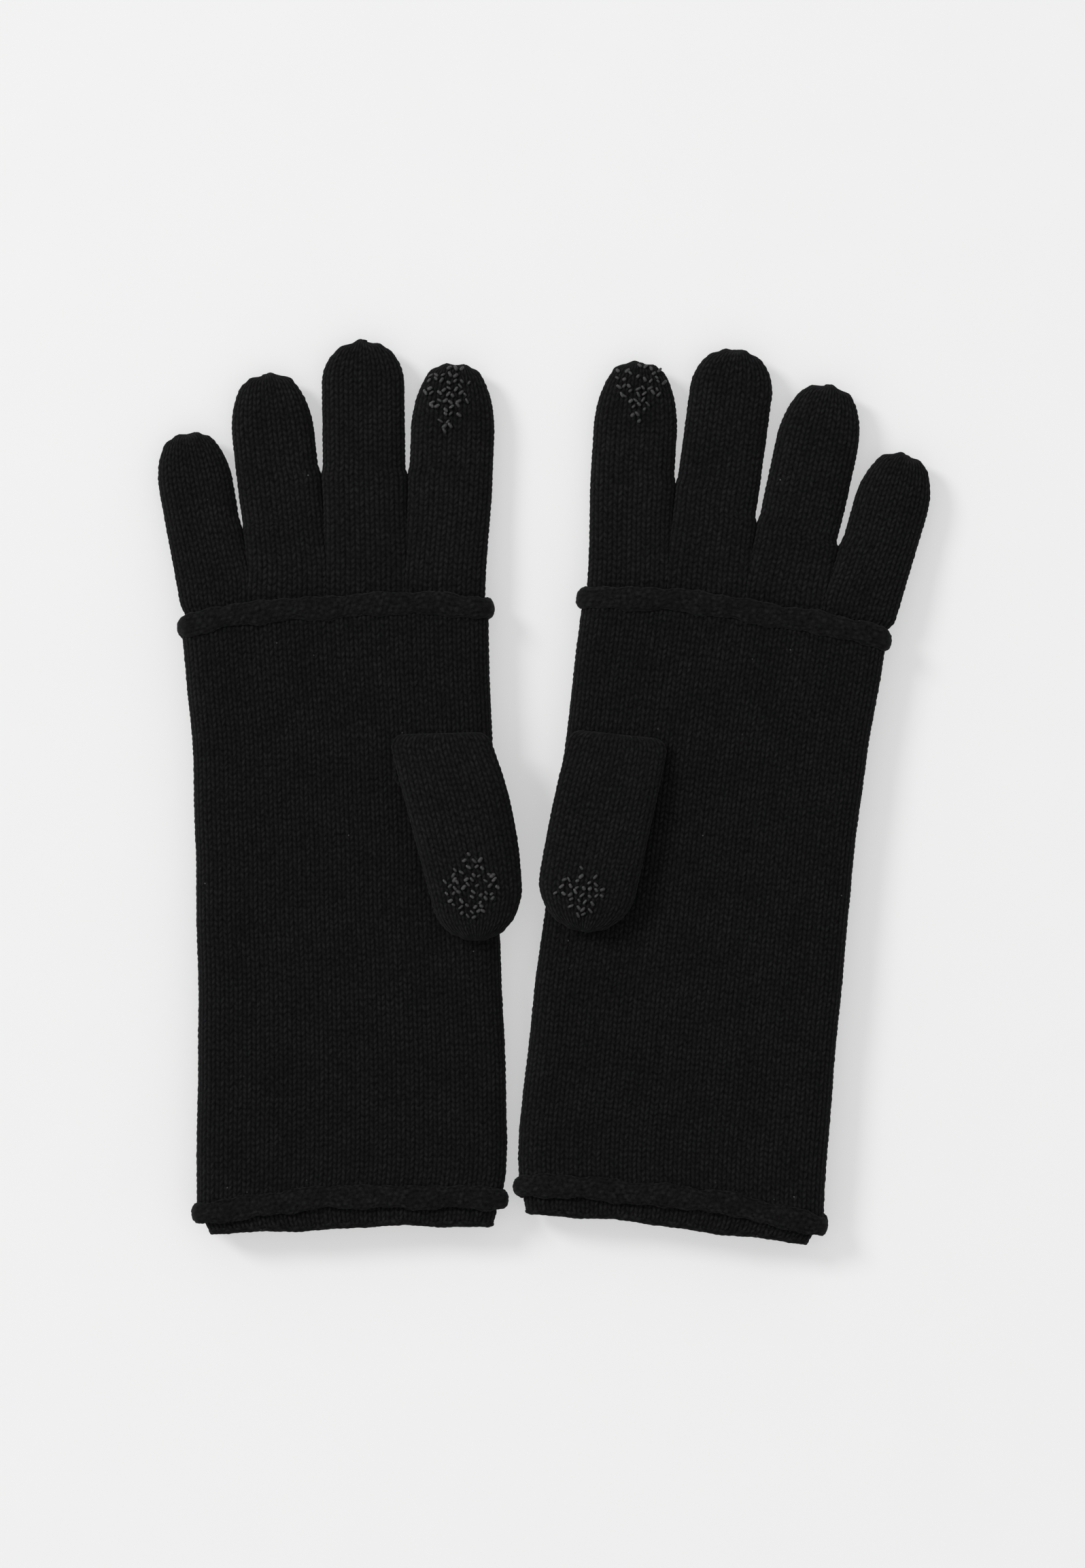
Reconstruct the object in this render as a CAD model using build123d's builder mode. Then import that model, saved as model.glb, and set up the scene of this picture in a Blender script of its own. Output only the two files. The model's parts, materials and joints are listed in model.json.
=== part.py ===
"""A pair of two-layer knitted touchscreen gloves, lying flat with the palms up.

Each glove is an inner five-finger glove with a long cuff, inside a fingerless outer sleeve
with rolled hems. The thumb comes out of a slit in the sleeve and is folded down on it.

Row frame, in millimetres: X across the pair, +Y towards the fingertips, +Z up off the table,
origin on the table under the middle of the pair. Each glove is laid out in its own glove
frame: origin at the middle of its cuff's edge, y along the glove, +x towards its thumb side
on the right-hand glove. The left-hand glove is its mirror image.
"""

import os

from build123d import *

os.makedirs("parts", exist_ok=True)

# Fabric and layers
KNIT = 1.2  # one knitted layer
LAYER_GAP = 0.35  # air between layers that slide or swing past each other
SIDE_GAP = 0.8  # the same at a glove's long edges, where the sleeve's outline curves
HOLLOW = 4.4  # height of the space that a hand or a finger opens
EDGE_FLAT = 0.4  # flat strip left between the two rounded rims of a finger

# Rolled hems of the sleeve
HEM_PROUD = 1.9  # how far a hem stands out of the sleeve all round
HEM_LENGTH = 6.0  # along the sleeve
HEM_ROUND = 2.0  # rounding of a hem's outer rims

# Heights above the table
HAND_HEIGHT = HOLLOW + 2 * KNIT
SLEEVE_HEIGHT = HAND_HEIGHT + 2 * (LAYER_GAP + KNIT)
SLEEVE_BOTTOM = HEM_PROUD
SLEEVE_TOP = SLEEVE_BOTTOM + SLEEVE_HEIGHT
MIDDLE = (SLEEVE_BOTTOM + SLEEVE_TOP) / 2
HAND_BOTTOM = MIDDLE - HAND_HEIGHT / 2
HAND_TOP = MIDDLE + HAND_HEIGHT / 2
THUMB_BOTTOM = SLEEVE_TOP + LAYER_GAP

# Places along a glove, from the cuff's edge
CUFF_EDGE = 1.6
BOTTOM_HEM = 5.0
WRIST = 86.0
TOP_HEM = 182.6
FLARE_START = 192.0
FLARE_END = 197.5
FINGER_BASE = 195.5
SLEEVE_TRAVEL = 3.0  # how far the sleeve slides towards the fingers

# Thumb slit in the sleeve and the gusset that passes through it
SLIT_TOP = 144.8
GUSSET_X = 29.6
GUSSET_WIDTH = 22.4
GUSSET_LENGTH = 7.6
GUSSET_MARGIN = 0.4  # between the gusset and the slit's upper lip
SLIT_WIDTH = GUSSET_WIDTH + 2.0
SLIT_LENGTH = GUSSET_LENGTH + SLEEVE_TRAVEL + 0.8
SLIT_BORDER = 1.2

# Thumb, folded down from the gusset
THUMB_FOLD = 146.5  # its upper end, along the glove
THUMB_X = 30.8
THUMB_BASE_WIDTH = 30.0
THUMB_CORNER = 4.0  # plan rounding at the fold
THUMB_BEND = 11.3  # from the fold down to the line where the thumb lifts

# Touch pads of conductive yarn, and the yarn gathered at each closed tip
PAD_THICKNESS = 0.6
INDEX_PAD = (15.4, 17.0)  # across and along the finger
THUMB_PAD = (16.6, 17.2)
INDEX_PAD_FROM_TIP = 11.6
GATHER_RADIUS = 1.5
GATHER_PROUD = 0.6
GATHER_PLAY = 0.05

# Sleeve outline: station along the glove, little-finger side, thumb side
SLEEVE_EDGES = (
    (BOTTOM_HEM + HEM_LENGTH, -46.4, 46.0),
    (17.0, -46.1, 47.1),
    (26.0, -45.8, 47.7),
    (68.0, -44.4, 47.4),
    (112.0, -43.8, 46.7),
    (150.0, -44.2, 46.2),
    (TOP_HEM, -46.2, 46.2),
)
FLARE_EDGES = (-47.8, 45.3)

# Fingers: base centre across the hand, base width, tip diameter, length, lean in degrees
FINGERS = {
    "index_finger": (33.4, 23.4, 25.0, 63.9, -3.0),
    "middle_finger": (9.3, 23.2, 24.8, 71.2, 0.3),
    "ring_finger": (-14.2, 23.0, 24.8, 62.9, 4.6),
    "little_finger": (-37.8, 21.8, 22.4, 45.2, 8.2),
}

# How each glove lies: mirror sign, origin, turn of the glove in degrees, extra lean of its
# fingers, and its thumb's tip: radius, distance below the slit, shift outwards, pad offset
GLOVES = {
    "right": (1, (-57.4, -131.5), 1.5, -0.6, (13.2, 60.6, 9.4), (-1.4, -1.7)),
    "left": (-1, (37.7, -131.1), -6.3, 0.6, (14.6, 60.4, 4.2), (2.0, 2.4)),
}


def glove_plane(side, height, turn=0.0):
    """The glove's own frame, at a height above the table."""
    _, origin, angle, *_ = GLOVES[side]
    base = Plane(origin=(origin[0], origin[1], height))
    return base.rotated((0, 0, angle + turn))


def place(side, x, y, height, turn=0.0):
    """A plane at a point of the glove, turned about the vertical, mirrored with the glove."""
    mirror = GLOVES[side][0]
    frame = glove_plane(side, height)
    turned = glove_plane(side, height, mirror * turn)
    return Plane(origin=frame.from_local_coords((mirror * x, y, 0)), x_dir=turned.x_dir,
                 z_dir=(0, 0, 1))


def section_plane(side, x, y):
    """A plane across the glove at a station, for a flattened-tube section."""
    frame = place(side, x, y, MIDDLE)
    return Plane(origin=frame.origin, x_dir=frame.x_dir, z_dir=frame.y_dir)


def finger_plane(side, finger, height):
    """A plane at a finger's base, with its y axis along the finger."""
    base_x, _, _, _, lean = FINGERS[finger]
    extra_lean = GLOVES[side][3]
    return place(side, base_x, FINGER_BASE, height, lean + extra_lean)


def thumb_plane(side, height):
    """A plane at the thumb's fold, with its y axis down the glove."""
    return place(side, THUMB_X, THUMB_FOLD, height, 180)


def edges_at(station):
    """The sleeve's two edges at a station, between the stations given for it."""
    for low, high in zip(SLEEVE_EDGES, SLEEVE_EDGES[1:]):
        if station <= high[0]:
            break
    part_way = (station - low[0]) / (high[0] - low[0])
    return [a + (b - a) * part_way for a, b in zip(low[1:], high[1:])]


def flat_tube(side, stations, height):
    """A solid with flattened-tube sections through stations of (along, edge, edge)."""
    with BuildPart() as tube:
        for along, low, high in stations:
            with BuildSketch(section_plane(side, (low + high) / 2, along)):
                SlotOverall(high - low, height)
        loft(ruled=True)
    return tube.part


def inset(stations, amount, ends=0.0):
    """The same stations, narrower on both edges, and longer at both ends."""
    narrow = [(along, low + amount, high - amount) for along, low, high in stations]
    first, last = narrow[0], narrow[-1]
    narrow[0] = (first[0] - ends, *first[1:])
    narrow[-1] = (last[0] + ends, *last[1:])
    return narrow


def digit_form(plane, base_width, tip_radius, length, height, overrun=0.0):
    """A flat finger with rounded rims on a plane, from its base line to its round tip."""
    rim = (height - EDGE_FLAT) / 2
    with BuildPart() as form:
        with BuildSketch(plane):
            with BuildLine():
                Line((-base_width / 2, -overrun), (base_width / 2, -overrun))
            with Locations((0, length - tip_radius)):
                Circle(tip_radius)
            make_hull()
        extrude(amount=height)
        rims = [
            edge
            for face in form.faces().filter_by(Axis.Z)
            for edge in face.edges()
            if plane.to_local_coords(edge.center()).Y > 1
        ]
        fillet(rims, rim)
    return form.part


def thumb_form(side, plane, inset_by, height):
    """The whole folded thumb as a flat form, from its round corners at the fold to its tip."""
    radius, length, shift = GLOVES[side][4]
    corner_x = THUMB_BASE_WIDTH / 2 - THUMB_CORNER
    with BuildPart() as form:
        with BuildSketch(plane):
            with Locations((-corner_x, THUMB_CORNER), (corner_x, THUMB_CORNER)):
                Circle(THUMB_CORNER - inset_by)
            with Locations((outwards(side, shift), length - radius)):
                Circle(radius - inset_by)
            make_hull()
        extrude(amount=height)
        fillet(form.faces().filter_by(Axis.Z).edges(), (height - EDGE_FLAT) / 2)
    return form.part


def outwards(side, distance):
    """A distance towards the glove's thumb side, in the thumb's own turned-round plane."""
    return -GLOVES[side][0] * distance


def across_digit(plane, shift, along):
    """A plane across a digit at a distance from its base, at mid height, facing the tip."""
    middle = plane.from_local_coords((shift, along, HAND_HEIGHT / 2))
    return Plane(origin=middle, x_dir=plane.x_dir, z_dir=plane.y_dir)


def save(part, name):
    """Label a finished piece and write it out."""
    part.label = name
    export_step(part, f"parts/{name}.step")


def make_palm(side):
    """Hand part of the inner glove: open at the wrist, the finger bases and the thumb."""
    body = [(WRIST, *edges_at(WRIST))]
    body += [station for station in SLEEVE_EDGES if station[0] > WRIST]
    body += [(FLARE_START, *SLEEVE_EDGES[-1][1:])]
    body = inset(body, KNIT + SIDE_GAP)
    flare = [body[-1], (FLARE_END, *FLARE_EDGES)]
    with BuildPart() as palm:
        add(flat_tube(side, body, HAND_HEIGHT))
        add(flat_tube(side, flare, HAND_HEIGHT))
        add(flat_tube(side, inset(body, KNIT, 0.01), HOLLOW), mode=Mode.SUBTRACT)
        add(flat_tube(side, inset(flare, KNIT, 0.01), HOLLOW), mode=Mode.SUBTRACT)
        for finger, (_, base_width, *_) in FINGERS.items():
            with BuildSketch(finger_plane(side, finger, HAND_BOTTOM - 1)):
                with Locations((0, -LAYER_GAP)):
                    Rectangle(base_width + 1.2, 12, align=(Align.CENTER, Align.MIN))
            extrude(amount=HAND_HEIGHT + 2, mode=Mode.SUBTRACT)
        with BuildSketch(gusset_plane(side, MIDDLE)):
            SlotOverall(GUSSET_WIDTH - 2 * KNIT, GUSSET_LENGTH - 2 * KNIT)
        extrude(amount=HAND_HEIGHT, mode=Mode.SUBTRACT)
    save(palm.part, f"{side}_palm")


def gusset_plane(side, height):
    """A plane at the middle of the thumb gusset."""
    return place(side, GUSSET_X, SLIT_TOP - GUSSET_MARGIN - GUSSET_LENGTH / 2, height)


def make_cuff(side):
    """Long cuff of the inner glove, and its cast-off edge below the sleeve."""
    low, high = SLEEVE_EDGES[0][1:]
    length = [(CUFF_EDGE, low, high)]
    length += [station for station in SLEEVE_EDGES if station[0] < WRIST]
    length += [(WRIST, *edges_at(WRIST))]
    length = inset(length, KNIT + SIDE_GAP)
    with BuildPart() as cuff:
        add(flat_tube(side, length, HAND_HEIGHT))
        add(flat_tube(side, inset(length, KNIT, 0.01), HOLLOW), mode=Mode.SUBTRACT)
    save(cuff.part, f"{side}_inner_cuff")

    width = high - low - 2 * (KNIT + SIDE_GAP)
    with BuildPart() as edge:
        with BuildSketch(section_plane(side, (low + high) / 2, 0)):
            SlotOverall(width, HAND_HEIGHT)
            SlotOverall(width - 2 * KNIT, HOLLOW, mode=Mode.SUBTRACT)
        extrude(amount=CUFF_EDGE)
    save(edge.part, f"{side}_cuff_edge")


def make_sleeve(side):
    """Fingerless outer sleeve with the thumb slit, and the slit's cast-off border."""
    slit_middle = SLIT_TOP - SLIT_LENGTH / 2
    outer_size = (SLIT_WIDTH + 2 * SLIT_BORDER, SLIT_LENGTH + 2 * SLIT_BORDER)
    with BuildPart() as shell:
        add(flat_tube(side, SLEEVE_EDGES, SLEEVE_HEIGHT))
        add(flat_tube(side, inset(SLEEVE_EDGES, KNIT, 0.01), SLEEVE_HEIGHT - 2 * KNIT),
            mode=Mode.SUBTRACT)
    with BuildPart() as sleeve:
        add(shell.part)
        with BuildSketch(place(side, GUSSET_X, slit_middle, MIDDLE)):
            Rectangle(*outer_size)
        extrude(amount=SLEEVE_HEIGHT, mode=Mode.SUBTRACT)
    save(sleeve.part, f"{side}_outer_sleeve")

    with BuildPart() as border:
        add(shell.part)
        with BuildSketch(place(side, GUSSET_X, slit_middle, MIDDLE)):
            Rectangle(*outer_size)
        extrude(amount=SLEEVE_HEIGHT, mode=Mode.INTERSECT)
        with BuildSketch(place(side, GUSSET_X, slit_middle, MIDDLE)):
            Rectangle(SLIT_WIDTH, SLIT_LENGTH)
        extrude(amount=SLEEVE_HEIGHT, mode=Mode.SUBTRACT)
    save(border.part, f"{side}_thumb_slit_edge")


def make_hem(side, name, along, edges):
    """Rolled hem: a thick rounded ring on an end of the sleeve, flush with its inside."""
    low, high = edges
    width = high - low
    with BuildPart() as hem:
        with BuildSketch(section_plane(side, (low + high) / 2, along)):
            SlotOverall(width + 2 * HEM_PROUD, SLEEVE_HEIGHT + 2 * HEM_PROUD)
        extrude(amount=HEM_LENGTH)
        fillet(hem.edges(), HEM_ROUND)
        with BuildSketch(section_plane(side, (low + high) / 2, along)):
            SlotOverall(width - 2 * KNIT, SLEEVE_HEIGHT - 2 * KNIT)
        extrude(amount=HEM_LENGTH, mode=Mode.SUBTRACT)
    save(hem.part, f"{side}_{name}")


def make_gather(side, name, across_tip):
    """Yarn drawn up in the hole at a closed tip, a little proud of it."""
    with BuildPart() as gather:
        with BuildSketch(across_tip.offset(-KNIT)):
            Circle(GATHER_RADIUS - GATHER_PLAY)
        extrude(amount=KNIT + GATHER_PROUD)
        fillet(gather.edges().group_by(lambda edge: across_tip.to_local_coords(edge.center()).Z)[-1],
               GATHER_PROUD - GATHER_PLAY)
    save(gather.part, f"{side}_{name}_tip_gather")


def make_pad(side, name, plane, middle, size):
    """Touch pad: a thin oval of conductive stitches lying on a digit's palm side."""
    with BuildPart() as pad:
        with BuildSketch(plane):
            with Locations(middle):
                Ellipse(size[0] / 2, size[1] / 2)
        extrude(amount=PAD_THICKNESS)
    save(pad.part, f"{side}_{name}_touch_pad")


def make_fingers(side):
    """Four finger tubes with their gathered tips, and the index finger's touch pad."""
    for finger, (_, base_width, tip_diameter, length, _) in FINGERS.items():
        plane = finger_plane(side, finger, HAND_BOTTOM)
        radius = tip_diameter / 2
        outer = digit_form(plane, base_width, radius, length, HAND_HEIGHT)
        inner = digit_form(plane.offset(KNIT), base_width - 2 * KNIT, radius - KNIT,
                           length - KNIT, HOLLOW, overrun=1.0)
        across_tip = across_digit(plane, 0, length)
        with BuildPart() as tube:
            add(outer)
            add(inner, mode=Mode.SUBTRACT)
            with BuildSketch(across_tip):
                Circle(GATHER_RADIUS)
            extrude(amount=2 * KNIT, both=True, mode=Mode.SUBTRACT)
        save(tube.part, f"{side}_{finger}")
        make_gather(side, finger.split("_")[0], across_tip)
    index_length = FINGERS["index_finger"][3]
    make_pad(side, "index", finger_plane(side, "index_finger", HAND_TOP),
             (0, index_length - INDEX_PAD_FROM_TIP), INDEX_PAD)


def make_thumb(side):
    """Thumb tube folded down on the sleeve, and the gusset that it grows out of."""
    radius, length, shift = GLOVES[side][4]
    pad_x, pad_y = GLOVES[side][5]
    plane = thumb_plane(side, THUMB_BOTTOM)
    across_tip = across_digit(plane, outwards(side, shift), length)
    with BuildPart() as shell:
        add(thumb_form(side, plane, 0, HAND_HEIGHT))
        add(thumb_form(side, plane.offset(KNIT), KNIT, HOLLOW), mode=Mode.SUBTRACT)

    with BuildPart() as tube:
        add(shell.part)
        split(bisect_by=across_digit(plane, 0, THUMB_BEND), keep=Keep.TOP)
        with BuildSketch(across_tip):
            Circle(GATHER_RADIUS)
        extrude(amount=2 * KNIT, both=True, mode=Mode.SUBTRACT)
    save(tube.part, f"{side}_thumb")

    throat_height = THUMB_BOTTOM - HAND_TOP
    with BuildPart() as gusset:
        add(shell.part)
        split(bisect_by=across_digit(plane, 0, THUMB_BEND - LAYER_GAP), keep=Keep.BOTTOM)
        with BuildSketch(gusset_plane(side, HAND_TOP)):
            SlotOverall(GUSSET_WIDTH, GUSSET_LENGTH)
        extrude(amount=throat_height + KNIT / 2)
        with BuildSketch(gusset_plane(side, HAND_TOP)):
            SlotOverall(GUSSET_WIDTH - 2 * KNIT, GUSSET_LENGTH - 2 * KNIT)
        extrude(amount=throat_height + 2 * KNIT, mode=Mode.SUBTRACT)
    save(gusset.part, f"{side}_thumb_gusset")

    make_gather(side, "thumb", across_tip)
    make_pad(side, "thumb", thumb_plane(side, THUMB_BOTTOM + HAND_HEIGHT),
             (outwards(side, shift + pad_x), length - radius + pad_y), THUMB_PAD)


for glove in GLOVES:
    make_palm(glove)
    make_cuff(glove)
    make_fingers(glove)
    make_thumb(glove)
    make_sleeve(glove)
    make_hem(glove, "top_hem", TOP_HEM, SLEEVE_EDGES[-1][1:])
    make_hem(glove, "bottom_hem", BOTTOM_HEM, SLEEVE_EDGES[0][1:])
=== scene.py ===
"""Looks of a pair of two-layer knitted touchscreen gloves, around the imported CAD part.

Shapes are worked out in millimetres in each glove's own frame (x to the thumb side, y from
the cuff's edge to the fingertips, z up off the table) and placed in the row frame in metres.
Every knitted piece is a grid whose columns follow the wales and whose rows follow the courses.
"""

import json
import math

import bpy
import numpy as np
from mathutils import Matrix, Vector


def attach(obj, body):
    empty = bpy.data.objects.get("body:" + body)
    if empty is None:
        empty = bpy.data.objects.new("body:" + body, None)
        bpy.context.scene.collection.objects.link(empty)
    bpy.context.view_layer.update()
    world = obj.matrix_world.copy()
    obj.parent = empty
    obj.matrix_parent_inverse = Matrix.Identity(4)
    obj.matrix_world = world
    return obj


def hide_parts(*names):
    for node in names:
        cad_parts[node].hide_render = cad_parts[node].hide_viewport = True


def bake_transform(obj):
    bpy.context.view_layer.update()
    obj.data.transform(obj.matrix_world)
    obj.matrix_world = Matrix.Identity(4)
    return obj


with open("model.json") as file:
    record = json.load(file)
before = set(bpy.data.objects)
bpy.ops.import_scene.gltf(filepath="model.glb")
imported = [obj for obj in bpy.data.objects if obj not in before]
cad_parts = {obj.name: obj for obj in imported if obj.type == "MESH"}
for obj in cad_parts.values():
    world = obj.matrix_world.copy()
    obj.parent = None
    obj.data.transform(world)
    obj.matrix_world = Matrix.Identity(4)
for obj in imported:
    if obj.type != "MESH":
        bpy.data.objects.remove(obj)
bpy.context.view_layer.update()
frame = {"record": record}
record = frame["record"]
joints = {joint["name"]: joint for joint in record["behaviour"]["joints"]}
mounts = {mount["name"]: mount for mount in record["mounts"]}

# Knit gauge, in millimetres, and how finely a stitch is meshed
WALE = 2.72
COURSE = 1.77
PALM_COLUMNS = 8  # per wale on the palm side
BACK_COLUMNS = 4  # per wale on the back
COURSE_ROWS = 5
RELIEF = 0.4
STITCH_MEAN = 0.55  # the stitch height that relief leaves in place
LEG_SLANT = 0.75
SLEEVE_WALES, HAND_WALES, HEM_WALES, THUMB_WALES, FINGER_WALES = 36, 34, 37, 12, 10  # across

# Layers and heights, as in the CAD part
KNIT = 1.2
MIDDLE = 6.85
HAND_HALF = 3.4
SLEEVE_HALF = 4.95
SLEEVE_TOP = 11.8
THUMB_MIDDLE = 15.55
THUMB_TOP = 18.95
TABLE = 0.05  # nothing goes lower
SIDE_INSET = 2.0  # from the sleeve's outline to the hand's
ROUNDING = 12.4  # width of the soft shoulder along a flattened tube's edge

# Places along a glove
BOTTOM_HEM = 5.0
TOP_HEM = 182.6
HEM_LENGTH = 6.0
WRIST = 86.0
PALM_END = 184.0
FINGER_BASE = 195.5
MOUTH_X = 0.6  # the middle of the hand opening
SLEEVE_EDGES = np.array([
    (11.0, -46.4, 46.0), (17.0, -46.1, 47.1), (26.0, -45.8, 47.7), (68.0, -44.4, 47.4),
    (112.0, -43.8, 46.7), (150.0, -44.2, 46.2), (182.6, -46.2, 46.2),
])

# Fingers from the little one on: half width at the base and further up, how long the taper
# to the tip is, and how far past the tip that taper would end
FINGERS = {
    "little": (10.9, 11.2, 18.0, 1.5),
    "ring": (11.5, 12.4, 20.5, 1.8),
    "middle": (11.6, 12.45, 13.5, 0.2),
    "index": (11.7, 12.6, 23.0, 1.9),
}
FINGER_ORDER = list(FINGERS)
TIP_ROUND = 2.4  # how abruptly a blunt fingertip closes
STRIP_EDGES = (-44.2, -26.3, -2.5, 21.3, 44.2)  # where the fingers part across the palm
STRIP_START = -14.0  # where the knitting of the fingers starts, from their bases

# Thumb, the slit that it comes out of (x and y limits) and its throat in the slit
THUMB_X = 30.8
THUMB_HALF = 15.0
THUMB_CORNER = 4.0
THUMB_BEND = (141.2, 129.2)  # from where to where it bends up off the sleeve
SLIT_BOX = (17.4, 41.8, 133.4, 144.8)
THROAT_X, THROAT_Y = 29.6, 140.6
THROAT_HALF = (11.0, 3.3)
THROAT_Z = (9.4, 13.4)

# Touch pads: spacing of the rows and of the stitches in a row, and each pad's width along it,
# as shares of its length and of its full width
PAD_ROW = 1.85
PAD_STITCH = 2.0
INDEX_PAD = ((0, 0.2, 0.45, 0.8, 1), (0.12, 0.3, 0.8, 1.0, 0.75))
PAD_SEEDS = {"index": 40, "thumb": 60}
THUMB_PAD = ((0, 0.14, 0.4, 0.65, 0.86, 1), (0.25, 0.6, 1.0, 0.95, 0.45, 0.12))

# Per glove: finger lengths, their shifts to the thumb side, how far up neighbouring fingers
# touch, the thumb's tip radius, length and shift outwards, its bow and the place of its fold,
# and each touch pad's shift, distance from its tip, width and length
LAYOUT = {
    "right": {
        "lengths": (46.0, 62.9, 72.2, 64.6), "base_shift": (1.2, 0.6, 0.1, 0.6),
        "tip_shift": (0.4, -0.3, 0.6, 0.6), "touching": (15.3, 31.1, 30.4),
        "thumb": (13.2, 62.5, 9.4), "thumb_bow": 2.7, "thumb_fold": 148.5,
        "index_pad": (-1.4, 11.4, 15.0, 19.0), "thumb_pad": (-1.2, 16.2, 16.5, 19.0), "seed": 3,
    },
    "left": {
        "lengths": (44.8, 62.5, 70.2, 63.0), "base_shift": (-0.7, -0.3, 0.4, 0.4),
        "tip_shift": (-1.5, -1.2, -0.1, 0.8), "touching": (13.7, 17.8, 26.8),
        "thumb": (14.6, 60.0, 4.2), "thumb_bow": 0.7, "thumb_fold": 146.0,
        "index_pad": (0.4, 9.8, 15.5, 16.0), "thumb_pad": (2.0, 11.9, 15.5, 13.5), "seed": 11,
    },
}


def smooth(value, low, high):
    """0 below low, 1 above high, and a soft step between."""
    part = np.clip((np.asarray(value, float) - low) / (high - low), 0, 1)
    return part * part * (3 - 2 * part)


def sway(x, y, phase):
    """A gentle uneven height, between about -1 and 1, that lying fabric has."""
    return (0.5 * np.sin(x / 11.3 + y / 17.0 + phase)
            + 0.3 * np.sin(y / 9.1 - x / 23.0 + 2 * phase)
            + 0.2 * np.sin(x / 5.7 - y / 12.9 + 3 * phase))


def plan(x, y):
    """Points in plan from their two coordinates."""
    return np.stack([x, y], axis=-1)


def squared(value, power):
    """A cosine or sine bent so that a circle turns into a rounded box."""
    return np.sign(value) * np.abs(value) ** power


def run_along(path):
    """Distance along a path at each of its points."""
    return np.concatenate([[0], np.cumsum(np.linalg.norm(np.diff(path, axis=0), axis=1))])


class Glove:
    """One glove's frame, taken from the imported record."""

    def __init__(self, side):
        self.side = side
        self.mirror = 1 if side == "right" else -1
        self.layout = LAYOUT[side]
        self.up = np.array(joints[f"{side}_sleeve_slide"]["axis"][:2])
        self.across = np.array([self.up[1], -self.up[0]])
        mouth = np.array(mounts[f"{side}_hand_opening"]["pos_m"][:2]) * 1000
        self.origin = mouth - self.mirror * MOUTH_X * self.across

    def row(self, points):
        """Glove millimetres to row metres."""
        points = np.asarray(points, float)
        flat = (self.origin + self.mirror * points[..., 0:1] * self.across
                + points[..., 1:2] * self.up)
        return np.concatenate([flat, points[..., 2:3]], axis=-1) / 1000

    def local(self, row_point):
        """A row point in metres to glove millimetres, in plan."""
        flat = np.array(row_point[:2]) * 1000 - self.origin
        return np.array([self.mirror * flat @ self.across, flat @ self.up])

    def finger(self, name):
        """Base point of a finger and the direction that it points, in plan."""
        joint = joints[f"{self.side}_{name}_flex"]
        axis = np.array(joint["axis"][:2])
        pointing = np.array([-axis[1], axis[0]])
        direction = np.array([self.mirror * pointing @ self.across, pointing @ self.up])
        return self.local(joint["pos_m"]), direction


def scatter(a, b, phase):
    """An even-handed random number from 0 to 1 for each pair of whole numbers."""
    value = np.sin(a * 12.9898 + b * 78.233 + phase * 37.719) * 43758.5453
    return value - np.floor(value)


def stitch(u, v, phase=0.0):
    """Height of plain knitting, 0 to 1: columns of V-shaped stitches, no two quite alike."""
    u, v = np.broadcast_arrays(np.asarray(u, float), np.asarray(v, float))
    wale = np.floor(u)
    v = v + (0.22 * np.sin(v * 0.61 + wale * 1.9 + phase) + 0.16 * np.sin(wale * 2.7 + v * 0.17))
    leg = (2 * u) % 1.0
    edge = np.abs(u % 1.0 - 0.5) * 2
    along = v - LEG_SLANT * edge
    size = 0.6 + 0.4 * scatter(np.floor(2 * u), np.floor(along), phase)
    bead = along % 1.0
    return size * np.sin(math.pi * leg) ** 0.6 * (0.1 + 0.9 * np.sin(math.pi * bead) ** 0.8)


def purl(u, v, phase=0.0):
    """Height of purl knitting, 0 to 1: rows of staggered bumps of uneven size."""
    u, v = np.broadcast_arrays(np.asarray(u, float), np.asarray(v, float))
    v = v + 0.3 * np.sin(u * 0.9 + phase) + 0.22 * np.sin(u * 2.3 + 2 * phase)
    row = np.floor(v)
    place = u + 0.5 * (row % 2) + 0.3 * scatter(row, row, phase)
    bump = np.abs(np.sin(math.pi * place))
    size = 0.45 + 0.55 * scatter(np.floor(place), row, phase)
    return size * np.sin(math.pi * (v % 1.0)) ** 0.7 * (0.25 + 0.75 * bump ** 0.8)


def shoulder(distance, width):
    """Share of the full height at a distance from a flattened tube's edge."""
    part = np.clip(distance / np.maximum(width, 1e-3), 0, 1)
    return np.sqrt(np.clip(1 - (1 - part) ** 4.3, 0, 1))


def columns(wales, palm=PALM_COLUMNS, back=BACK_COLUMNS):
    """Column places in wales, first over the palm side and then over the back."""
    over = np.arange(wales * palm) / palm
    under = wales + np.arange(wales * back) / back
    return over, under, wales


def wale_line(cols):
    """Column places with the closing one, for a grid's texture coordinates."""
    over, under, wales = cols
    return np.concatenate([over, under, [2 * wales]])


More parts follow.
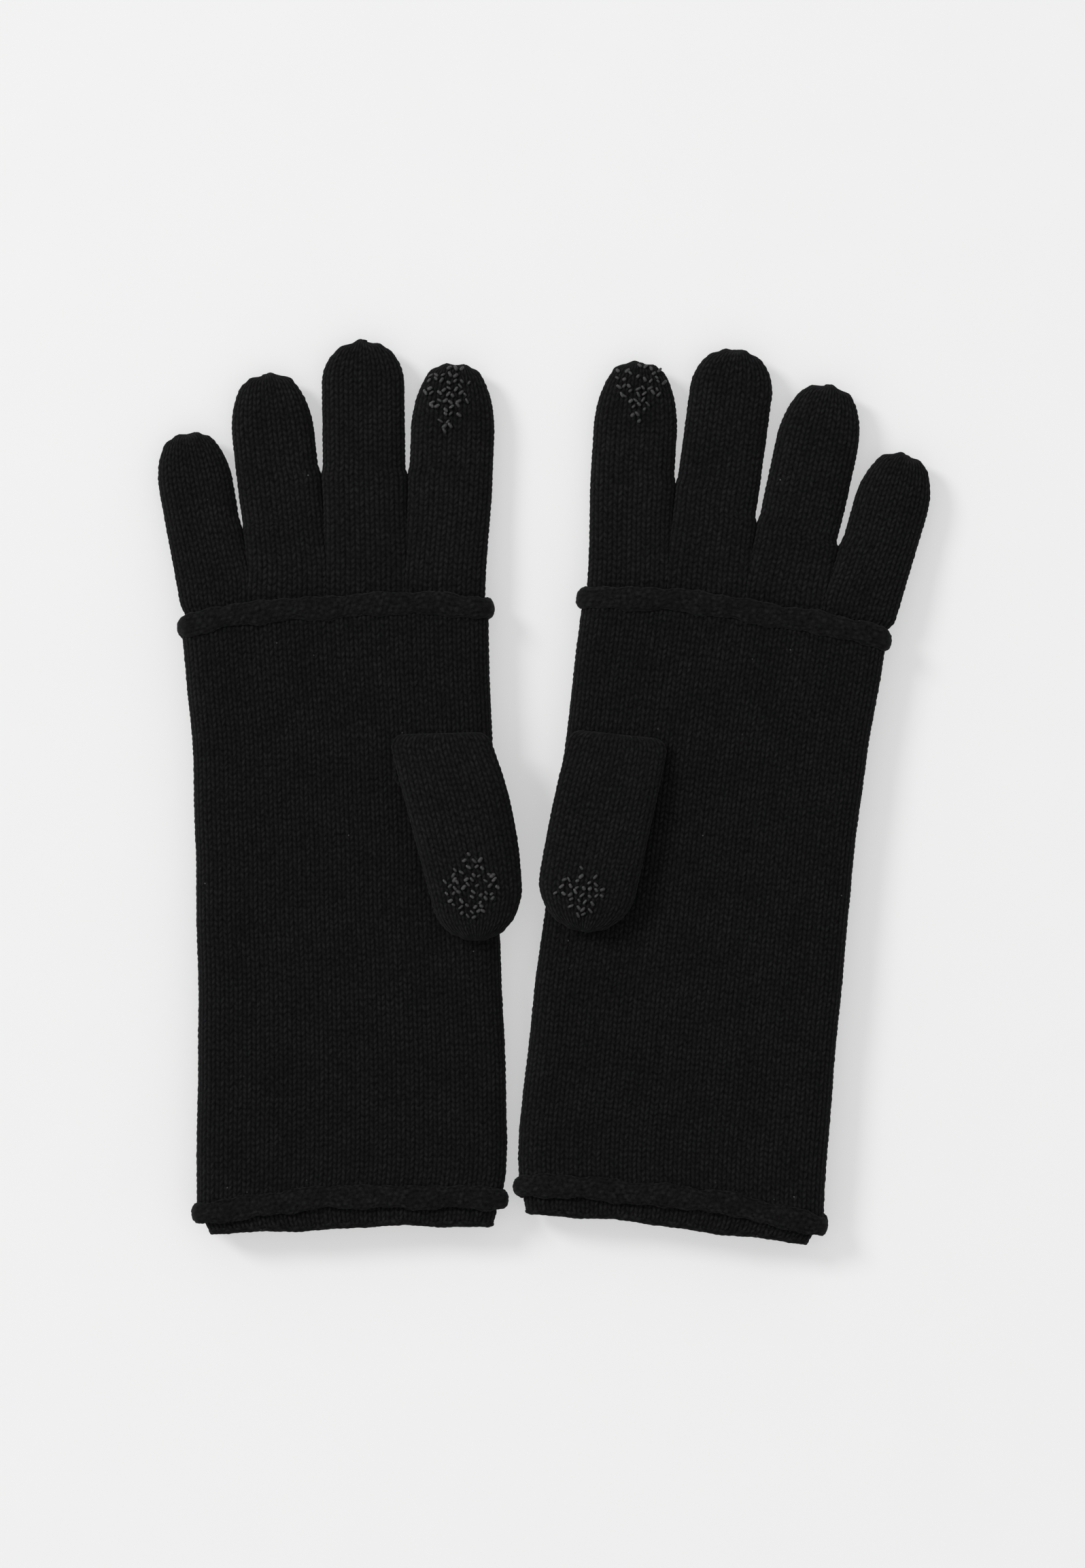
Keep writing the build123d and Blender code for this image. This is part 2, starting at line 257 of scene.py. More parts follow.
def flat_rows(left, right, top, bottom, middle, round_left, round_right, cols,
              held_left=0.0, held_right=0.0):
    """Points (rows, columns, 3) of a flattened tube between two edges given row by row.

    top and bottom are its heights from the middle, round_left and round_right the widths of its
    shoulders, and held_left and held_right the height that an edge keeps against its neighbour.
    """
    over, under, wales = cols
    count = len(left)
    left, right = np.asarray(left, float), np.asarray(right, float)
    top, bottom, middle, round_left, round_right, held_left, held_right = (
        np.broadcast_to(np.asarray(value, float), (count,))
        for value in (top, bottom, middle, round_left, round_right, held_left, held_right))
    fine = (1 - np.cos(np.linspace(0, math.pi, 161))) / 2
    points = np.zeros((count, len(over) + len(under), 3))
    for i in range(count):
        width = max(float(np.linalg.norm(right[i] - left[i])), 1e-4)
        x = fine * width
        rise = ((held_left[i] + (1 - held_left[i]) * shoulder(x, round_left[i]))
                * (held_right[i] + (1 - held_right[i]) * shoulder(width - x, round_right[i])))
        rise[0] = rise[-1] = 0
        for share, height, place in ((over / wales, top[i], slice(0, len(over))),
                                     (1 - (under - wales) / wales, -bottom[i], slice(len(over), None))):
            z = rise * height
            run = np.concatenate([[0], np.cumsum(np.hypot(np.diff(x), np.diff(z)))])
            along = share * run[-1]
            px, pz = np.interp(along, run, x), np.interp(along, run, z)
            points[i, place, :2] = left[i] + (px / width)[:, None] * (right[i] - left[i])
            points[i, place, 2] = middle[i] + pz
    return points


def normals_of(points, outward_columns, wrap_rows=False):
    """Unit normals of a grid that wraps round its columns, facing out on the given columns."""
    du = np.roll(points, -1, axis=1) - np.roll(points, 1, axis=1)
    if wrap_rows:
        dv = np.roll(points, -1, axis=0) - np.roll(points, 1, axis=0)
    else:
        dv = np.gradient(points, axis=0)
    n = np.cross(du, dv)
    n /= np.maximum(np.linalg.norm(n, axis=-1, keepdims=True), 1e-9)
    if n[:, outward_columns, 2].mean() < 0:
        n = -n
    return n


def make_mesh(name, vertices, quads, triangles, uv_quads, uv_triangles, relief):
    """A smooth-shaded mesh from arrays, with its normals facing out."""
    quads, uv_quads = quads.reshape(-1, 4), uv_quads.reshape(-1, 4, 2)
    centre = vertices.mean(axis=0)
    a, b, c, d = (vertices[quads[:, k]] - centre for k in range(4))
    volume = np.einsum("ij,ij->", a, np.cross(b, c)) + np.einsum("ij,ij->", a, np.cross(c, d))
    if volume < 0:
        quads, uv_quads = quads[:, ::-1], uv_quads[:, ::-1]
        triangles, uv_triangles = triangles[:, ::-1], uv_triangles[:, ::-1]
    loops = np.concatenate([quads.ravel(), triangles.ravel()]).astype(np.int32)
    sizes = np.concatenate([np.full(len(quads), 4), np.full(len(triangles), 3)]).astype(np.int32)
    starts = np.concatenate([[0], np.cumsum(sizes)[:-1]]).astype(np.int32)
    mesh = bpy.data.meshes.new(name)
    mesh.vertices.add(len(vertices))
    mesh.vertices.foreach_set("co", vertices.astype(np.float32).ravel())
    mesh.loops.add(len(loops))
    mesh.loops.foreach_set("vertex_index", loops)
    mesh.polygons.add(len(sizes))
    mesh.polygons.foreach_set("loop_start", starts)
    mesh.polygons.foreach_set("use_smooth", np.ones(len(sizes), bool))
    uv = mesh.uv_layers.new(name="stitches")
    mesh.update(calc_edges=True)
    flat = np.concatenate([uv_quads.reshape(-1, 2), uv_triangles.reshape(-1, 2)])
    uv.data.foreach_set("uv", flat.astype(np.float32).ravel())
    # relief is the stitch height at each point; the material also paints shade where it is low
    attribute = mesh.attributes.new("relief", "FLOAT", "POINT")
    attribute.data.foreach_set("value", relief.astype(np.float32))
    mesh.validate()
    piece = bpy.data.objects.new(name, mesh)
    bpy.context.scene.collection.objects.link(piece)
    return piece


def grid_piece(glove, name, points, u, v, relief, wrap_rows=False, pole=None, hole=None):
    """A piece from a grid that wraps round its columns, with its material not yet set.

    u has one more entry than there are columns. pole is a point that closes the last row, and
    hole marks faces to leave out.
    """
    rows, cols = points.shape[:2]
    index = np.arange(rows * cols).reshape(rows, cols)
    beside = np.roll(index, -1, axis=1)
    above = np.roll(index, -1, axis=0) if wrap_rows else index[1:]
    above_beside = np.roll(above, -1, axis=1)
    last = rows if wrap_rows else rows - 1
    quads = np.stack([index[:last], beside[:last], above_beside, above], axis=-1)
    v = np.asarray(v, float)
    v_next = np.append(v[1:], v[-1] + 1) if wrap_rows else v[1:]
    u0, u1 = (np.broadcast_to(a, (last, cols)) for a in (u[:-1], u[1:]))
    v0, v1 = (np.broadcast_to(a[:last, None], (last, cols)) for a in (v, np.append(v_next, 0)[:rows]))
    uv = np.stack([np.stack([u0, v0], -1), np.stack([u1, v0], -1),
                   np.stack([u1, v1], -1), np.stack([u0, v1], -1)], axis=2)
    if hole is not None:
        keep = ~hole[:last]
        quads, uv = quads[keep], uv[keep]
    vertices, shade = points.reshape(-1, 3), relief.reshape(-1)
    triangles, uv_triangles = np.zeros((0, 3), int), np.zeros((0, 3, 2))
    if pole is not None:
        triangles = np.stack([index[-1], beside[-1], np.full(cols, len(vertices))], axis=-1)
        tip_v = np.full(cols, v[-1] + 0.2)
        uv_triangles = np.stack([np.stack([u[:-1], np.full(cols, v[-1])], -1),
                                 np.stack([u[1:], np.full(cols, v[-1])], -1),
                                 np.stack([(u[:-1] + u[1:]) / 2, tip_v], -1)], axis=1)
        vertices = np.concatenate([vertices, [pole]])
        # the closing point gets little relief, so it is painted in shade
        shade = np.append(shade, 0.2)
    return make_mesh(name, glove.row(vertices), quads, triangles, uv, uv_triangles, shade)


def merge(pieces, name):
    """One object from several that share materials."""
    bpy.ops.object.select_all(action="DESELECT")
    for piece in pieces:
        piece.select_set(True)
    bpy.context.view_layer.objects.active = pieces[0]
    bpy.ops.object.join()
    pieces[0].name = name
    pieces[0].data.name = name
    return pieces[0]


# ---------------------------------------------------------------- materials

def node(tree, kind, **values):
    """A new node, with values set on its sockets or as its properties."""
    made = tree.nodes.new(kind)
    for key, value in values.items():
        if key in made.inputs:
            made.inputs[key].default_value = value
        else:
            setattr(made, key, value)
    return made


def remap(tree, source, from_range, to_range=(0.0, 1.0)):
    """A socket's value carried from one range to another, and held inside it."""
    made = node(tree, "ShaderNodeMapRange", **{
        "From Min": from_range[0], "From Max": from_range[1],
        "To Min": to_range[0], "To Max": to_range[1]})
    tree.links.new(source, made.inputs["Value"])
    return made.outputs[0]


def sum_up(tree, operation, *values):
    """A Math node over sockets and plain numbers."""
    made = node(tree, "ShaderNodeMath", operation=operation)
    for value, socket in zip(values, made.inputs):
        if isinstance(value, (int, float)):
            socket.default_value = value
        else:
            tree.links.new(value, socket)
    return made.outputs[0]


def lint_flecks(tree, to_mm, colour):
    """Rare pale flecks of lint over a colour."""
    speck = node(tree, "ShaderNodeTexVoronoi", Scale=0.16)
    tree.links.new(to_mm, speck.inputs["Vector"])
    small = remap(tree, speck.outputs["Distance"], (0.045, 0.02))
    some = node(tree, "ShaderNodeSeparateColor")
    tree.links.new(speck.outputs["Color"], some.inputs[0])
    rare = remap(tree, some.outputs[0], (0.55, 1.0))
    fleck = node(tree, "ShaderNodeMix", data_type="RGBA")
    fleck.inputs[7].default_value = (0.11, 0.11, 0.11, 1)
    tree.links.new(sum_up(tree, "MULTIPLY", small, rare), fleck.inputs[0])
    tree.links.new(colour, fleck.inputs[6])
    return fleck.outputs[2]


def yarn_material(name, painted_groove_shade, light, roughness=0.88, sheen=0.03, bump=0.8, lint=True, specular=0.07):
    """Knitted yarn: painted shade in the grooves and lighter crests, uneven dye, loose fibres and a little
    lint.
    """
    material = bpy.data.materials.new(name)
    material.use_nodes = True
    tree = material.node_tree
    tree.nodes.clear()
    link = tree.links.new
    out = node(tree, "ShaderNodeOutputMaterial")
    shader = node(tree, "ShaderNodeBsdfPrincipled", **{
        "Roughness": roughness, "Sheen Weight": sheen, "Sheen Roughness": 0.45,
        "Sheen Tint": (0.9, 0.92, 1.0, 1.0), "Specular IOR Level": specular})
    link(shader.outputs[0], out.inputs[0])

    # the stitch grid's own coordinates, in millimetres
    place = node(tree, "ShaderNodeUVMap", uv_map="stitches")
    to_mm = node(tree, "ShaderNodeVectorMath", operation="MULTIPLY")
    to_mm.inputs[1].default_value = (WALE, COURSE, 1.0)
    link(place.outputs[0], to_mm.inputs[0])
    dye = node(tree, "ShaderNodeTexNoise", Scale=0.09, Detail=4.0, Roughness=0.6)
    strand = node(tree, "ShaderNodeTexNoise", Scale=0.8, Detail=4.0, Roughness=0.7)
    fibre = node(tree, "ShaderNodeTexNoise", Scale=5.5, Detail=4.0, Roughness=0.7, Distortion=1.2)
    for texture in (dye, strand, fibre):
        link(to_mm.outputs[0], texture.inputs["Vector"])

    # from the painted shade of the grooves to the crests' own colour, broken up by the strands
    height = node(tree, "ShaderNodeAttribute", attribute_name="relief")
    crest = sum_up(tree, "POWER", height.outputs["Fac"], 1.5)
    uneven = sum_up(tree, "MULTIPLY_ADD", strand.outputs["Fac"], 1.3, -0.52)
    shade = node(tree, "ShaderNodeMix", data_type="RGBA")
    shade.inputs[6].default_value = (*painted_groove_shade, 1)
    shade.inputs[7].default_value = (*light, 1)
    link(sum_up(tree, "MULTIPLY_ADD", crest, 0.85, uneven), shade.inputs[0])

    # uneven dye and fibre fuzz
    faded = remap(tree, dye.outputs["Fac"], (0.3, 0.7), (0.82, 1.22))
    fuzz = remap(tree, fibre.outputs["Fac"], (0.3, 0.75), (0.25, 2.3))
    tone = node(tree, "ShaderNodeVectorMath", operation="SCALE")
    link(shade.outputs[2], tone.inputs[0])
    link(sum_up(tree, "MULTIPLY", faded, fuzz), tone.inputs["Scale"])
    colour = tone.outputs[0]
    if lint:
        colour = lint_flecks(tree, to_mm.outputs[0], colour)
    link(colour, shader.inputs["Base Color"])

    roughen = node(tree, "ShaderNodeBump", Strength=bump, Distance=0.00025)
    link(sum_up(tree, "ADD", fibre.outputs["Fac"], strand.outputs["Fac"]), roughen.inputs["Height"])
    link(roughen.outputs[0], shader.inputs["Normal"])
    return material


# For each yarn, the first colour is painted shade for the grooves between stitches and the second is the
# colour of the crests
MATERIALS = {
    "hand_knit": yarn_material(
        "hand_knit", (0.0005, 0.0005, 0.0006), (0.0120, 0.0120, 0.0125)),
    "sleeve_knit": yarn_material(
        "sleeve_knit", (0.0004, 0.0004, 0.0005), (0.0110, 0.0110, 0.0115)),
    "rolled_hem": yarn_material(
        "rolled_hem", (0.0005, 0.0005, 0.0006), (0.0122, 0.0122, 0.0127),
        roughness=0.9, sheen=0.04),
    "gathered_yarn": yarn_material(
        "gathered_yarn", (0.0030, 0.0030, 0.0032), (0.0130, 0.0130, 0.0136),
        sheen=0.05, bump=0.6, lint=False),
    "conductive_yarn": yarn_material(
        "conductive_yarn", (0.006, 0.006, 0.0062), (0.050, 0.050, 0.052),
        roughness=0.42, sheen=0.02, bump=0.4, lint=False, specular=0.4),
}


def finish_piece(piece, slot, body, *nodes, over=None):
    """Material, slot and replaced CAD nodes; the piece then moves with its body, or, when over is given, is
    left attached to none.
    """
    piece.data.materials.clear()
    piece.data.materials.append(MATERIALS[slot])
    if nodes:
        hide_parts(*nodes)
    if over is None:
        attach(piece, body)
    else:
        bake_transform(piece)


# ------------------------------------------------------------------- sleeve

def sleeve_edges(y):
    """The sleeve's two side edges at y."""
    return (np.interp(y, SLEEVE_EDGES[:, 0], SLEEVE_EDGES[:, 1]),
            np.interp(y, SLEEVE_EDGES[:, 0], SLEEVE_EDGES[:, 2]))


def top_bow(x):
    """How far the top hem bows up the glove at x."""
    return 1.9 + 0.0326 * x - 0.001418 * x * x


def bottom_bow(x):
    """How far the bottom hem bows up the glove at x."""
    return 1.2 + 0.018 * x - 0.00145 * x * x


def cuff_bow(x):
    """How far the cuff's edge bows up the glove at x."""
    return bottom_bow(x) * 0.35


def bowed(points):
    """Moves rows near the sleeve's ends with its hems."""
    x, y = points[..., 0], points[..., 1]
    moved = points.copy()
    moved[..., 1] = (y + top_bow(x) * smooth(y, 135, 182) + bottom_bow(x) * (1 - smooth(y, 11, 45)))
    return moved


def make_sleeve(glove):
    """The outer sleeve, worked outside and plain inside, with its slit for the thumb."""
    seed = glove.layout["seed"]
    cols = columns(SLEEVE_WALES)
    start, end = BOTTOM_HEM + HEM_LENGTH / 2, TOP_HEM + HEM_LENGTH / 2
    courses = int(round((end - start) / COURSE))
    v = np.arange(courses * COURSE_ROWS + 1) / COURSE_ROWS
    y = start + v / v[-1] * (end - start)
    low, high = sleeve_edges(y)
    wobble = 0.35 * np.sin(y / 13.0 + seed) + 0.2 * np.sin(y / 5.3 + 2 * seed)
    belly = smooth(y, 14, 45) * (1 - smooth(y, 150, 178))
    outer = flat_rows(plan(low + 0.4 * wobble, y), plan(high + 0.4 * wobble[::-1], y), SLEEVE_HALF,
                      SLEEVE_HALF + 1.1 * belly, MIDDLE, ROUNDING, ROUNDING, cols)
    from_edge = np.minimum(outer[..., 0] - low[:, None], high[:, None] - outer[..., 0])
    soft = shoulder(from_edge, ROUNDING)
    under_thumb = smooth(outer[..., 1], 70, 92) * smooth(outer[..., 0], -6, 12)
    lift = 0.34 * sway(outer[..., 0], outer[..., 1], seed) - 0.12
    outer[..., 2] += np.where(outer[..., 2] > MIDDLE, lift * (1 - 0.8 * under_thumb), 0) * soft ** 2
    uv_u = wale_line(cols)
    n = normals_of(outer, slice(60, 150))
    height = stitch(uv_u[None, :-1], v[:, None], seed)
    worked = outer + n * (RELIEF * (height - STITCH_MEAN))[..., None]

    # inside, with closer rows along the slit
    inner_y = np.concatenate([[end - 0.4], np.arange(end - 8, 146, -8.0), np.arange(146, 132.2, -1.0),
                              np.arange(128, start + 3, -9.0), [start + 0.4]])
    low_in, high_in = sleeve_edges(inner_y)
    inner = flat_rows(plan(low_in + KNIT, inner_y), plan(high_in - KNIT, inner_y), SLEEVE_HALF - KNIT,
                      SLEEVE_HALF - KNIT, MIDDLE, ROUNDING, ROUNDING, cols)
    points = np.concatenate([worked, inner])
    all_v = np.concatenate([v, v[-1] + 1 + (end - inner_y) / COURSE])
    relief = np.concatenate([height, np.full(inner.shape[:2], 0.35)])
    x0, x1, y0, y1 = SLIT_BOX
    centre_x = (points[..., 0] + np.roll(points[..., 0], -1, axis=1)) / 2
    centre_y = (points[..., 1] + np.roll(points[..., 1], -1, axis=0)) / 2
    palm_side = np.arange(points.shape[1])[None, :] < len(cols[0])
    across_slit = (centre_x > x0) & (centre_x < x1)
    hole = across_slit & (centre_y > y0) & (centre_y < y1) & palm_side
    sleeve = grid_piece(glove, f"{glove.side}_outer_sleeve_knit", bowed(points), uv_u, all_v,
                        relief, wrap_rows=True, hole=hole)
    finish_piece(sleeve, "sleeve_knit", f"{glove.side}_sleeve", f"{glove.side}_outer_sleeve")


def ring(glove, name, y, edges, half_height, section, wales, turns, relief, bow, phase, flatten=0.0):
    """A rolled rim that runs round a flattened tube, knitted in purl.

    edges are the tube's two sides. section is how far out its middle lies, its half thickness,
    its half length along the glove and its squareness. flatten lowers it on its flat sides.
    """
    low, high = edges
    offset, thick, half_long, power = section
    cols = columns(wales, palm=6, back=6)
    around = wale_line(cols)[:-1]
    places = np.array([y - 1.0, y, y + 1.0])
    path = flat_rows(plan(np.array([low] * 3), places), plan(np.array([high] * 3), places),
                     half_height, half_height, MIDDLE, ROUNDING, ROUNDING, cols)
    out = normals_of(path, slice(60, 150))[1]
    path = path[1]
    sections = 30
    angle = np.linspace(0, 2 * math.pi, sections, endpoint=False)
    away = squared(np.cos(angle), 2 / power)
    along = squared(np.sin(angle), 2 / power)
    uneven = 1 + 0.08 * np.sin(around * 0.9 + phase) + 0.06 * np.sin(around * 2.3 + 2 * phase)
    drift = 0.35 * np.sin(around * 0.33 + phase) + 0.2 * np.sin(around * 0.81 + 3 * phase)
    facing = np.abs(out[:, 2])
    flat = 1 - flatten * facing ** 3
    outwards = (away > 0)[:, None]
    swell = thick * np.where(outwards, 1, 0.9) * uneven[None] * np.where(outwards, flat[None], 1)
    reach = half_long * (1 - 0.22 * (1 - facing)) * along[:, None] * uneven[None] + drift[None]
    points = path[None] + out[None] * (offset + swell * away[:, None])[..., None]
    points[..., 1] += reach
    v = np.arange(sections) / sections * turns
    height = purl(around[None] * 1.35 + 0.15 * np.sin(v)[:, None], v[:, None], phase)
    n = normals_of(points, slice(0, 1), wrap_rows=True)
    if np.einsum("ijk,ijk->", n, points - points.mean(axis=0, keepdims=True)) < 0:
        n = -n
    points = points + n * (relief * (height - 0.6))[..., None]
    points[..., 1] += bow(points[..., 0])
    points[..., 2] = np.maximum(points[..., 2], TABLE)
    return grid_piece(glove, name, points, wale_line(cols), v, height, wrap_rows=True)


def make_hems(glove):
    """The sleeve's two curled edges."""
    seed = glove.layout["seed"]
    for name, y, bow, phase, flatten in (
            ("top_hem", TOP_HEM + HEM_LENGTH / 2, top_bow, seed * 1.7, 0.50),
            ("bottom_hem", BOTTOM_HEM + HEM_LENGTH / 2 + 0.7, bottom_bow, seed * 0.9, 0.80)):
        hem = ring(glove, f"{glove.side}_{name}_roll", y, sleeve_edges(y), SLEEVE_HALF,
                   section=(0.25, 1.55, 3.5, 2.0), wales=HEM_WALES, turns=12, relief=0.34, bow=bow,
                   phase=phase, flatten=flatten)
        finish_piece(hem, "rolled_hem", f"{glove.side}_sleeve", f"{glove.side}_{name}")


def cord(glove, name, path, radius, twist):
    """A closed plied cord along a loop of points."""
    path = np.asarray(path, float)
    ahead = np.roll(path, -1, axis=0) - np.roll(path, 1, axis=0)
    ahead /= np.linalg.norm(ahead, axis=1, keepdims=True)
    side = np.cross(ahead, np.array([0, 0, 1.0]))
    side /= np.linalg.norm(side, axis=1, keepdims=True)
    over = np.cross(side, ahead)
    around = 14
    angle = np.linspace(0, 2 * math.pi, around, endpoint=False)
    run = run_along(path)
    ply = np.abs(np.sin(angle[:, None] + run[None] * twist))
    size = radius * (0.82 + 0.22 * ply)
    points = path[None] + size[..., None] * (
        np.cos(angle)[:, None, None] * side[None] + np.sin(angle)[:, None, None] * over[None])
    u = np.append(run, run[-1] + 1) / WALE
    return grid_piece(glove, name, points, u, np.arange(around) / 3.0, ply, wrap_rows=True)


def make_slit_edge(glove):
    """The cast-off border round the slit, along a rounded box."""
    x0, x1, y0, y1 = SLIT_BOX
    corner, outside = 3.0, 0.4
    steps = []
    for cx, cy, first in ((x1 - corner, y1 - corner, 0), (x0 + corner, y1 - corner, 90),
                          (x0 + corner, y0 + corner, 180), (x1 - corner, y0 + corner, 270)):
        for turn in np.radians(np.linspace(first, first + 90, 7)):
            steps.append((cx + (corner + outside) * math.cos(turn),
                          cy + (corner + outside) * math.sin(turn)))
    loop = np.array(steps + steps[:1])
    run = run_along(loop)
    even = np.linspace(0, run[-1], 150, endpoint=False)
    x, y = np.interp(even, run, loop[:, 0]), np.interp(even, run, loop[:, 1])
    _, high = sleeve_edges(y)
    z = MIDDLE + SLEEVE_HALF * shoulder(high - x, ROUNDING) - KNIT / 2 - 0.15
    path = np.stack([x, y + top_bow(x) * smooth(y, 135, 182), z], axis=-1)
    edge = cord(glove, f"{glove.side}_thumb_slit_binding", path, radius=0.95, twist=2.2)
    finish_piece(edge, "sleeve_knit", f"{glove.side}_sleeve", f"{glove.side}_thumb_slit_edge")


# --------------------------------------------------------------------- hand

def hand_shell(y, cols):
    """Outer and inner rows of the inner glove's tube, the inner ones from its far end back."""
    low, high = sleeve_edges(y)
    corner = 1.8 * (1 - smooth(y, 0, 7)) ** 2
    low, high = low + SIDE_INSET + corner, high - SIDE_INSET - 0.6 * corner
    outer = flat_rows(plan(low, y), plan(high, y), HAND_HALF, HAND_HALF, MIDDLE, ROUNDING, ROUNDING, cols)
    inner_y = np.linspace(y[-1], y[0], max(4, len(y) // 3))
    low_in, high_in = np.interp(inner_y, y, low), np.interp(inner_y, y, high)
    inner = flat_rows(plan(low_in + KNIT, inner_y), plan(high_in - KNIT, inner_y), HAND_HALF - KNIT,
                      HAND_HALF - KNIT, MIDDLE, ROUNDING, ROUNDING, cols)
    return outer, inner, inner_y


def make_hand(glove):
    """The inner glove's cuff, its cast-off edge and its palm, which the sleeve hides."""
    side = glove.side
    cols = columns(HAND_WALES)
    uv_u = wale_line(cols)
    dense = 1.0 + np.arange(0, 10 * COURSE_ROWS) / COURSE_ROWS * COURSE
    y = np.concatenate([dense, np.arange(dense[-1] + 3, WRIST, 5.0), [WRIST]])
    outer, inner, inner_y = hand_shell(y, cols)
    v = (y - 1.0) / COURSE
    shown = (1 - smooth(y, dense[-1] - 2, dense[-1]))[:, None]
    height = stitch(uv_u[None, :-1], v[:, None]) * shown + 0.5 * (1 - shown)
    worked = outer + normals_of(outer, slice(60, 150)) * (RELIEF * (height - STITCH_MEAN))[..., None]
    points = np.concatenate([worked, inner])
    all_v = np.concatenate([v, v[-1] + 1 + (WRIST - inner_y) / COURSE])
    relief = np.concatenate([height, np.full(inner.shape[:2], 0.4)])
    swell = 1 + 0.18 * (1 - smooth(points[..., 1], 3, 9.5))  # past the end of the sleeve
    points[..., 2] = MIDDLE + (points[..., 2] - MIDDLE) * swell
    points[..., 1] += cuff_bow(points[..., 0]) * (1 - smooth(points[..., 1], 3, 25))
    cuff = grid_piece(glove, f"{side}_inner_cuff_knit", points, uv_u, all_v, relief, wrap_rows=True)
    finish_piece(cuff, "hand_knit", f"{side}_hand", f"{side}_inner_cuff")

    low, high = sleeve_edges(0.0)
    rim = ring(glove, f"{side}_cuff_cast_off", 0.95, (low + SIDE_INSET + 1.8, high - SIDE_INSET - 1.1),
               HAND_HALF + 0.6, section=(-0.6, 0.86, 0.95, 2.1), wales=HAND_WALES, turns=3, relief=0.25,
               bow=cuff_bow, phase=0.7)
    finish_piece(rim, "hand_knit", f"{side}_hand", f"{side}_cuff_edge")

    y = np.concatenate([np.arange(WRIST, PALM_END, 3.5), [PALM_END]])
    outer, inner, inner_y = hand_shell(y, cols)
    points = np.concatenate([outer, inner])
    points[..., 2] = MIDDLE + (points[..., 2] - MIDDLE) * 0.94  # inside the fingers' knitting
    v = (y - WRIST) / COURSE
    all_v = np.concatenate([v, v[-1] + 1 + (PALM_END - inner_y) / COURSE])
    palm = grid_piece(glove, f"{side}_palm_knit", points, uv_u, all_v,
                      np.full(points.shape[:2], 0.5), wrap_rows=True)
    finish_piece(palm, "hand_knit", f"{side}_hand", f"{side}_palm")


# ------------------------------------------------------------------- digits

def digit_edge(t, x0, t0, cx, ct, radius, sign):
    """A digit's long edge at t: a straight line from (x0, t0) that runs into its tip's circle."""
    lean = 0.0
    for _ in range(40):  # settles on the tangent
        lean = math.atan2(sign * cx + radius * math.cos(lean) - sign * x0,
                          ct - radius * math.sin(lean) - t0)
    meet = ct - radius * math.sin(lean)
    straight = sign * x0 + (t - t0) * math.tan(lean)
    curved = sign * cx + np.sqrt(np.clip(radius ** 2 - (t - ct) ** 2, 0, None))
    return sign * np.where(t < meet, straight, curved)


def tip_steps(start, length):
    """Row places along a digit, in courses and in millimetres, closer at the very tip."""
    courses = int(round((length - start) / COURSE))
    v = np.arange(courses * COURSE_ROWS) / COURSE_ROWS
    t = start + v / courses * (length - start)
    extra = length - np.array([0.3, 0.18, 0.08, 0.02])
    t = np.concatenate([t[t < length - 0.38], extra])
    return (t - start) / COURSE, t


def pucker(points, n, t, length, across, phase):
    """Pleats drawn up towards a gathered tip."""
    near = (smooth(t, length - 6.0, length - 1.0)[:, None]
            * (1 - 0.5 * smooth(t, length - 1.2, length))[:, None])
    pleat = (np.cos(across * 2 * math.pi / 5.2 + phase) * 0.55
             + np.cos(across * 2 * math.pi / 3.1 + 2 * phase) * 0.25)
    return points + n * (near * pleat * 0.34)[..., None]


def finger_edge(glove, finger, sign, at):
    """A finger's own long edge, in plan, at places along it."""
    number = FINGER_ORDER.index(finger)
    base_half, half, taper, past = FINGERS[finger]
    length = glove.layout["lengths"][number]
    base, pointing = glove.finger(finger)
    out = np.array([pointing[1], -pointing[0]])
    width = base_half + (half - base_half) * smooth(at, 0, 30)
    width = width * np.sqrt(1 - np.clip((at - (length + past - taper)) / taper, 0, 1) ** 2)
    width = width * np.sqrt(1 - np.clip((at - (length - TIP_ROUND)) / TIP_ROUND, 0, 1) ** 2)
    low, high = glove.layout["base_shift"][number], glove.layout["tip_shift"][number]
    shift = low + (high - low) * np.clip(at / length, -0.2, 1)
    return base + at[:, None] * pointing + (sign * width + shift)[:, None] * out


